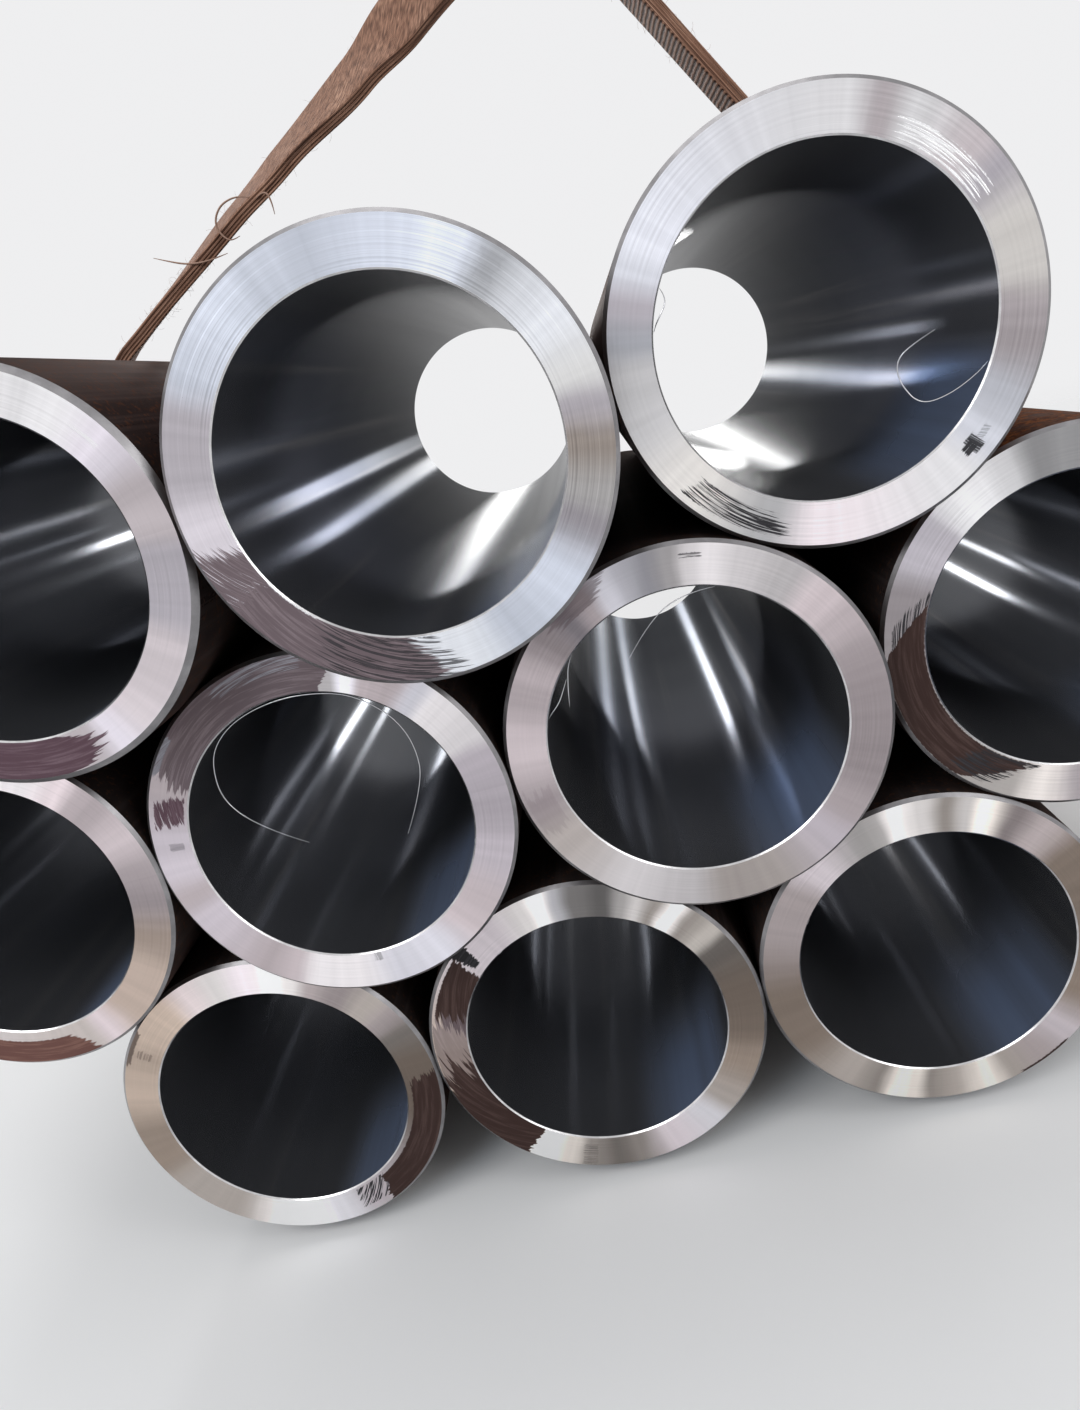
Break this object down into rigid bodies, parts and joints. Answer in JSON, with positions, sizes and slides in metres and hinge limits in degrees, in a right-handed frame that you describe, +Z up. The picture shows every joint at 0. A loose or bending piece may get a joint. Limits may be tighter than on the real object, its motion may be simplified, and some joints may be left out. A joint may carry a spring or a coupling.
{
  "type": "bundle of steel pipes",
  "caption": "Nested bundle of short thick-walled honed steel tubes, held together by one flat textile lifting sling.",
  "frame": {"origin": "on the floor, under the middle of the bundle's box", "axes": "+X along the rows to the right as seen from the pictured ends, +Y along the tubes away from those ends, +Z up"},
  "size_m": [1.0656, 0.819, 0.9871],
  "materials": {
    "tube_steel": "faced and honed steel, dark mill skin outside",
    "sling_textile": "brown woven sleeve"
  },
  "bodies": {
    "root": {"pipe_bottom_left": "tube_steel", "pipe_bottom_middle": "tube_steel", "pipe_bottom_right": "tube_steel", "pipe_middle_far_left": "tube_steel", "pipe_middle_left": "tube_steel", "pipe_middle_right": "tube_steel", "pipe_middle_far_right": "tube_steel", "pipe_top_left": "tube_steel", "pipe_top_middle": "tube_steel", "pipe_top_right": "tube_steel", "lifting_sling": "sling_textile"}
  },
  "joints": []
}
